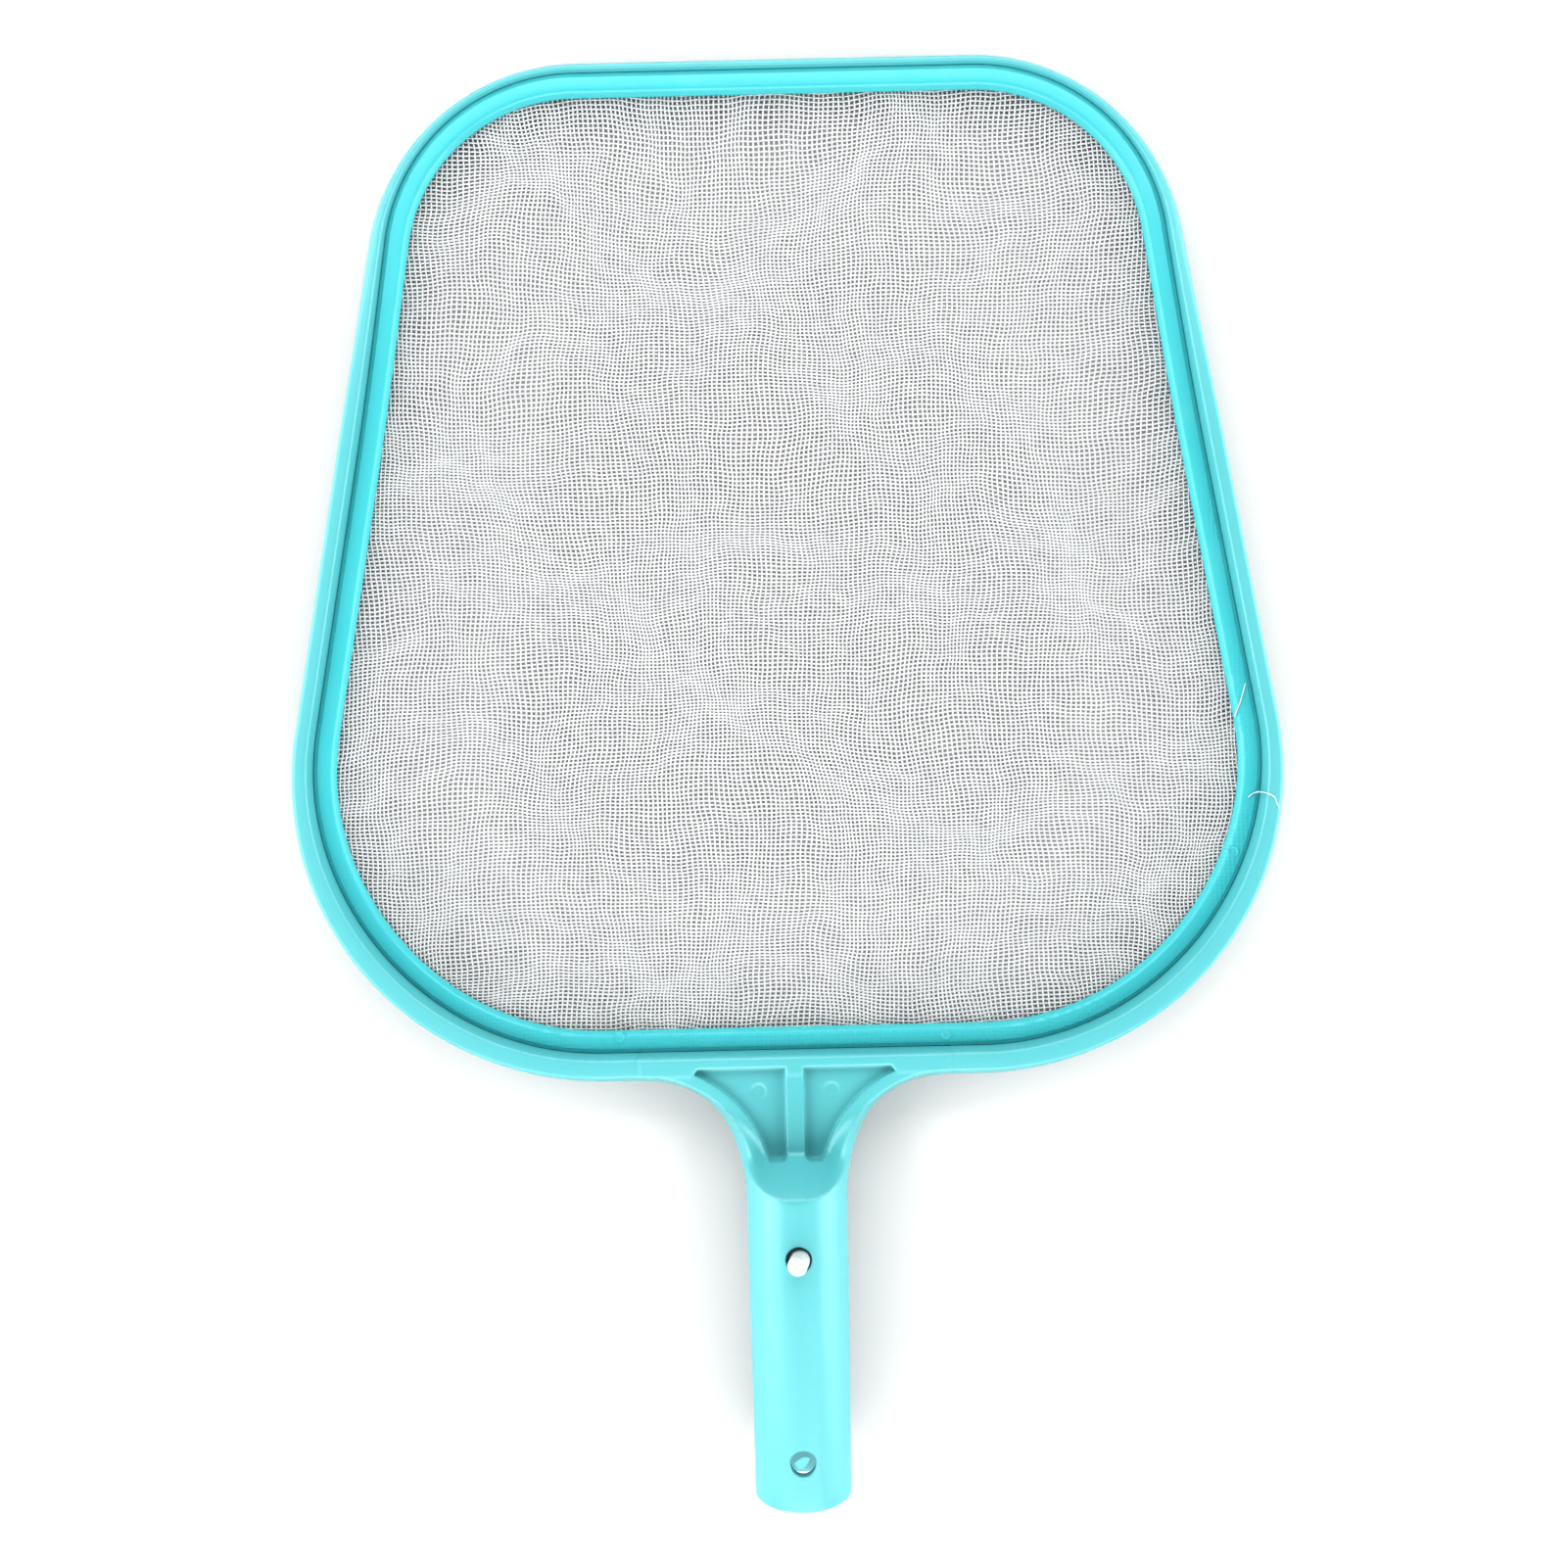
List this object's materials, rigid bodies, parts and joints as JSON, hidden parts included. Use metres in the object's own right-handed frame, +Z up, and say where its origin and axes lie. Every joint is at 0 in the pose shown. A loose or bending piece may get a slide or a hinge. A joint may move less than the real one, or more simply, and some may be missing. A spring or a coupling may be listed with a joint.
{
  "type": "leaf skimmer head",
  "caption": "Flat leaf skimmer head: a moulded rim with a fine woven net clamped by an inner ring, and a hollow plug-in tube handle with a sprung two-button clip.",
  "frame": {"origin": "the middle of the footprint, on the surface that the head lies on", "axes": "+Z up, out of the net's upper face; +Y towards the scooping lip, so the handle runs along -Y; +X to the right seen from above with the lip at the top"},
  "size_m": [0.2954, 0.419, 0.0384],
  "materials": {
    "frame_plastic": "semi-gloss moulded polypropylene, pale cyan",
    "ring_plastic": "semi-gloss moulded polypropylene, pale cyan, slightly deeper than the frame",
    "net_cloth": "white plain-woven nylon net",
    "clip_plastic": "white moulded acetal, satin"
  },
  "bodies": {
    "head": {"frame_moulding": "frame_plastic", "net_ring": "ring_plastic", "net": "net_cloth", "clip_bend": "clip_plastic"},
    "leg_top": {"clip_leg_top": "clip_plastic"},
    "leg_bottom": {"clip_leg_bottom": "clip_plastic"}
  },
  "joints": [
    {"name": "top_button_press", "type": "hinge", "parent": "head", "child": "leg_top", "pos_m": [0, -0.18372, 0.0229], "axis": [-1, 0, 0], "range_deg": [0, 6.4], "stiffness_Nm_per_rad": 0.6},
    {"name": "bottom_button_press", "type": "hinge", "parent": "head", "child": "leg_bottom", "pos_m": [0, -0.18372, 0.0157], "axis": [1, 0, 0], "range_deg": [0, 6.4], "stiffness_Nm_per_rad": 0.6}
  ]
}
